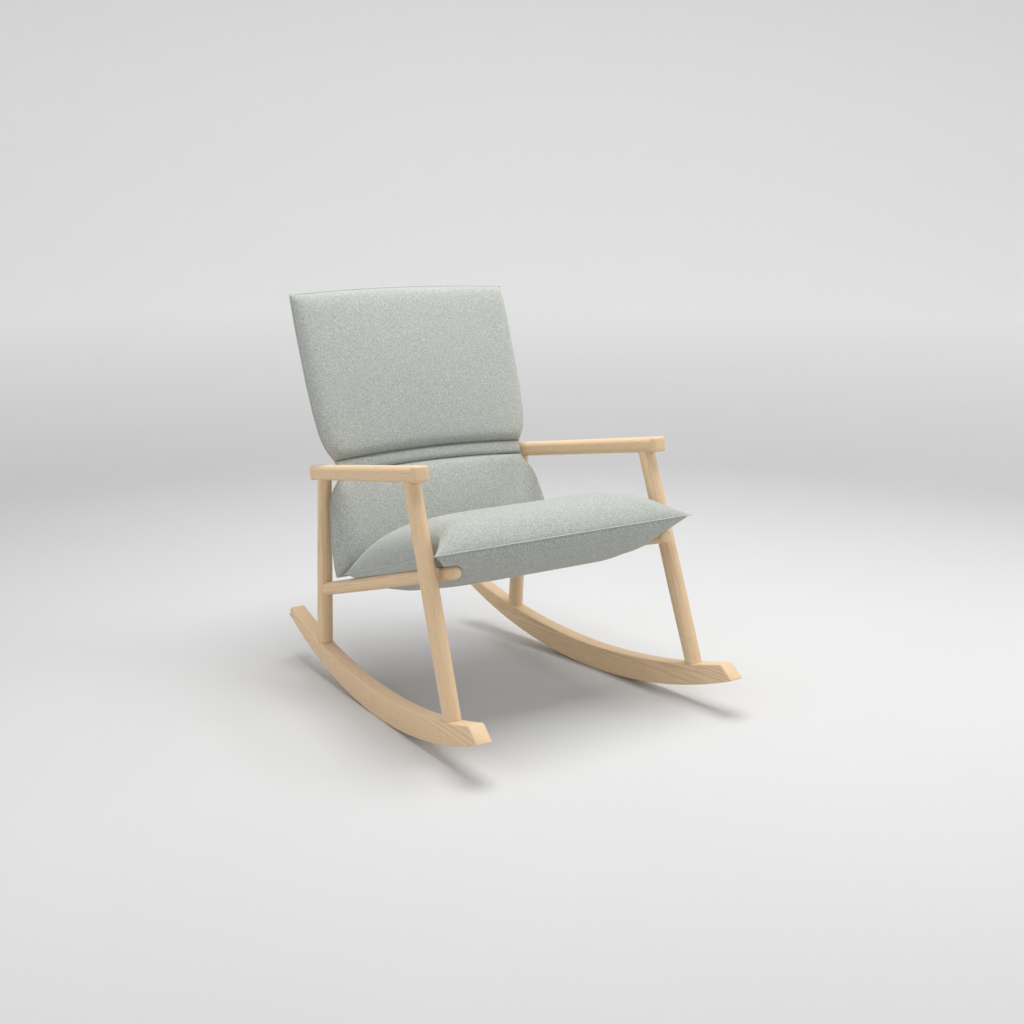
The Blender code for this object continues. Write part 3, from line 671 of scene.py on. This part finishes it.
def make_pad(name, columns, rows, front, back, nodes, fill, cap, back_held=False, pressed_by=()):
    """A sewn pad whose cloth swells by at most cap.

    back_held keeps the rear sheet flat, and the bars of pressed_by dent the pad.
    """
    shape = pillow(columns, rows, front, back)
    front_count = (columns + 1) * (rows + 1)
    piece = add_piece(name, shape, wool, nodes, sharp_angle=180)
    held = [j * (columns + 1) + i for j in range(rows + 1) for i in range(columns + 1)
            if i in (0, columns) or j in (0, rows)]
    if back_held:
        held += list(range(front_count, len(piece.data.vertices)))
    inflate(piece, held, cap)
    for bar in pressed_by:
        press(piece, *bar)
    subdivide(piece)


def cord(name, points, radius):
    """A thin sewn edge along the closed line of points."""
    rings = []
    for i, point in enumerate(points):
        direction = (points[(i + 1) % len(points)] - points[i - 1]).normalized()
        rings.append(circle(point, direction, radius, CORD_STEPS))
    shape = skin(rings, capped=False)
    shape.verts.ensure_lookup_table()
    first, last = shape.verts[:CORD_STEPS], shape.verts[-CORD_STEPS:]
    for i in range(CORD_STEPS):
        j = (i + 1) % CORD_STEPS
        shape.faces.new((last[i], last[j], first[j], first[i]))
    add_piece(name, shape, seam_wool)


def outline(place, steps=120):
    """Points of place(s, t) once round the edge of a pad."""
    points = [place(-1 + 2 * i / steps, -1) for i in range(steps)]
    points += [place(1, -1 + 2 * i / steps) for i in range(steps)]
    points += [place(1 - 2 * i / steps, 1) for i in range(steps)]
    points += [place(-1, 1 - 2 * i / steps) for i in range(steps)]
    return points


# Seat

def seat_point(x, v, n):
    y = SEAT_FRONT[0] + v * cos(SEAT_SLOPE) + n * sin(SEAT_SLOPE)
    z = SEAT_FRONT[1] - v * sin(SEAT_SLOPE) + n * cos(SEAT_SLOPE)
    return Vector((x, y, z))


def seat_flare(v):
    """How far the seat's side seams stand out past its even width: front tips and rear corners."""
    front = max(0.0, 1 - v / SEAT_FLARE_LENGTH) ** SEAT_FLARE_POWERS[0]
    rear = max(0.0, 1 - (SEAT_LENGTH - v) / SEAT_REAR_LENGTH) ** SEAT_FLARE_POWERS[0]
    return (SEAT_TIP_HALF_WIDTH - SEAT_HALF_WIDTH) * front + (SEAT_REAR_HALF_WIDTH - SEAT_HALF_WIDTH) * rear


def seat_sheet(s, t, height):
    """A point of the seat; the flare mostly draws out the cloth close to the side seams."""
    v = SEAT_LENGTH * (t + 1) / 2
    return seat_point(s * (SEAT_HALF_WIDTH + seat_flare(v) * s ** SEAT_FLARE_POWERS[1]), v, height)


def fullness(s, t, middle_power, loss, end_power):
    """A plump pillow's height over its seam: steep at the sewn edges, nearly flat between them."""
    side_power = middle_power - loss * t
    return max(0.0, 1 - abs(s) ** side_power) ** 0.52 * max(0.0, 1 - abs(t) ** end_power) ** 0.56


def seat_top(s, t):
    return seat_sheet(s, t, SEAT_CROWN * fullness(s, t, *SEAT_TOP_POWERS))


def seat_belly(s, t):
    depth = SEAT_BELLY * (1 - SEAT_BELLY_LOSS * t)
    return seat_sheet(s, t, -depth * fullness(s, t, *SEAT_BELLY_POWERS))


def press(piece, start, end, radii):
    """Dents a pad where a round bar leans into it, so that the cloth lies on the bar."""
    start, end = Vector(start), Vector(end)
    length = (end - start).length
    direction = (end - start) / length
    for vertex in piece.data.vertices:
        offset = vertex.co - start
        distance = offset.dot(direction)
        if not 0.0 < distance < length:
            continue
        away = offset - direction * distance
        keep = read_off(radii, distance / length) + CLOTH_THICKNESS
        if 1e-6 < away.length < keep:
            vertex.co += away * (keep / away.length - 1)


def seat_edge(s, t):
    return seat_sheet(s, t, 0.0)


def make_seat():
    """One sewn pillow with a seam round its middle, which lies on the two side rails."""
    rails = [(*rail_ends(sign), RAIL_RADII) for _, sign in SIDES]
    make_pad("seat_pillow", *SEAT_GRID, seat_top, seat_belly,
             ["seat_cushion", "seat_underpad", "seat_foam_core"], SEAT_FILL, SEAT_SWELL, pressed_by=rails)
    cord("seat_edge_seam", outline(seat_edge), SEAT_CORD_RADIUS)


# Back

def back_point(x, w, n):
    y = BACK_FOOT[0] + w * sin(BACK_LEAN) - n * cos(BACK_LEAN)
    z = BACK_FOOT[1] + w * cos(BACK_LEAN) + n * sin(BACK_LEAN)
    return Vector((x, y, z))


def back_half_width(w):
    table = LOWER_HALF_WIDTHS + UPPER_HALF_WIDTHS
    return soft_reading(table, min(max(w, 0.0), BACK_HEIGHT), 0.006)


def lifted(s, w):
    """Lifts the top edge and the waist seams into shallow arcs."""
    upper = max(0.0, (w - WAIST_W[1]) / (BACK_HEIGHT - WAIST_W[1]))
    waist = max(0.0, 1 - upper) if w > WAIST_W[0] else w / WAIST_W[0]
    arc = 1 - s * s
    return w + TOP_EDGE_RISE * upper * arc + waist * ((WAIST_RISE + WAIST_DROP) * arc - WAIST_DROP)


def back_sheet(low, high, foam):
    """place(s, t) of a sheet of the back between two heights."""
    def place(s, t):
        w = low + (high - low) * (t + 1) / 2
        return back_point(s * back_half_width(w), lifted(s, w), foam_height(s, t, *foam))
    return place


def make_back():
    """The back's two front pads, the waist band between them and the rear pad, with one seam round all."""
    low, high = WAIST_W
    for name, node, columns, rows, span, foam, cap in (
            ("upper_back_pillow", "upper_back_pad", 100, 80, (high, BACK_HEIGHT), UPPER_FOAM, 0.0035),
            ("lower_back_pillow", "lower_back_pad", 100, 56, (0.0, low), LOWER_FOAM, 0.0035),
            ("waist_band_wool", "waist_band", 96, 12, (low, high), BAND_FOAM, 0.0015),
            ("rear_back_pillow", "rear_back_pad", 80, 120, (0.0, BACK_HEIGHT), REAR_FOAM, 0.0045)):
        make_pad(name, columns, rows, back_sheet(*span, foam), back_sheet(*span, FLAT), [node],
                 BACK_FILL, cap, back_held=True)
    cord("back_edge_seam", outline(back_sheet(0.0, BACK_HEIGHT, FLAT), 160), BACK_CORD_RADIUS)


# ---------------------------------------------------------------- small parts and kept nodes

def make_kept_nodes():
    """Gives the plain parts that stay as they are their materials."""
    kinds = (("_shell", plywood), ("_screw", steel), ("_bolt", steel), ("_spacer", oak), ("_dowel", oak))
    for name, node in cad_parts.items():
        for ending, material in kinds:
            if name.endswith(ending):
                node.data.materials.clear()
                node.data.materials.append(material)


# ---------------------------------------------------------------- floor, light, camera

FLOOR_RADIUS = 4.6
COVE_RADIUS = 1.6
COVE_STEPS = 12
WALL_HEIGHT = 4.2
STUDIO_STEPS = 96
WORLD_STRENGTH = 0.35
LAMPS = (("overhead", 2.4, 104.0, (0.30, -0.10, 3.4), (0.30, -0.10, 0.0)),   # size, watts, place, aim
         ("right_fill", 1.6, 22.0, (2.6, -1.6, 1.9), (0.0, 0.0, 0.45)),
         ("left_fill", 1.6, 10.0, (-2.8, 0.3, 1.2), (0.0, 0.0, 0.3)),
         ("backdrop_lamp", 1.6, 10.0, (0.8, 1.3, 2.6), (2.2, 3.8, 0.9)))
CAMERA_PLACE = (-1.8245, -2.7236, 1.1564)
CAMERA_AZIMUTH = radians(-34.7241)
CAMERA_DOWN = radians(12.4242)
SENSOR_WIDTH = 36.0
FOCAL_LENGTH = 1422 / 1024 * SENSOR_WIDTH


def make_studio():
    """A round floor that curves up into a wall, an even pale world and four soft lamps."""
    flat_radius = FLOOR_RADIUS - COVE_RADIUS
    profile = [(0.001, 0.0), (1.0, 0.0), (2.0, 0.0), (flat_radius, 0.0)]
    for i in range(1, COVE_STEPS + 1):
        angle = pi / 2 * i / COVE_STEPS
        profile.append((flat_radius + COVE_RADIUS * sin(angle), COVE_RADIUS * (1 - cos(angle))))
    profile.append((FLOOR_RADIUS, WALL_HEIGHT))
    shape = bmesh.new()
    angles = [tau * i / STUDIO_STEPS for i in range(STUDIO_STEPS)]
    rows = [[shape.verts.new((radius * cos(angle), radius * sin(angle), z)) for angle in angles]
            for radius, z in profile]
    shape.faces.new(rows[0])
    for inner, outer in zip(rows, rows[1:]):
        for i in range(STUDIO_STEPS):
            j = (i + 1) % STUDIO_STEPS
            shape.faces.new((inner[i], inner[j], outer[j], outer[i]))
    mesh = bpy.data.meshes.new("studio_floor")
    shape.to_mesh(mesh)
    shape.free()
    mesh.materials.append(paper_material())
    mesh.shade_smooth()
    floor = bpy.data.objects.new("studio_floor", mesh)
    collection.objects.link(floor)

    world = bpy.data.worlds.new("studio")
    world.use_nodes = True
    background = world.node_tree.nodes["Background"]
    background.inputs["Color"].default_value = (1.0, 1.0, 1.0, 1.0)
    background.inputs["Strength"].default_value = WORLD_STRENGTH
    bpy.context.scene.world = world

    for name, size, energy, place, target in LAMPS:
        light = bpy.data.lights.new(name, "AREA")
        light.shape = "SQUARE"
        light.size = size
        light.energy = energy
        lamp = bpy.data.objects.new(name, light)
        lamp.location = place
        lamp.rotation_euler = (Vector(target) - lamp.location).to_track_quat("-Z", "Y").to_euler()
        collection.objects.link(lamp)


def make_camera():
    """A camera that sees the chair from the right front and a little above."""
    data = bpy.data.cameras.new("camera")
    data.sensor_width = SENSOR_WIDTH
    data.lens = FOCAL_LENGTH
    camera = bpy.data.objects.new("camera", data)
    camera.location = CAMERA_PLACE
    forward = Vector((-sin(CAMERA_AZIMUTH) * cos(CAMERA_DOWN), cos(CAMERA_AZIMUTH) * cos(CAMERA_DOWN),
                      -sin(CAMERA_DOWN)))
    camera.rotation_euler = forward.to_track_quat("-Z", "Y").to_euler()
    collection.objects.link(camera)
    bpy.context.scene.camera = camera


for side, sign in SIDES:
    make_side(side, sign)
make_cross_rails()
make_seat()
make_back()
make_kept_nodes()
make_studio()
make_camera()

bpy.context.scene.view_settings.view_transform = "Standard"
bpy.context.view_layer.update()
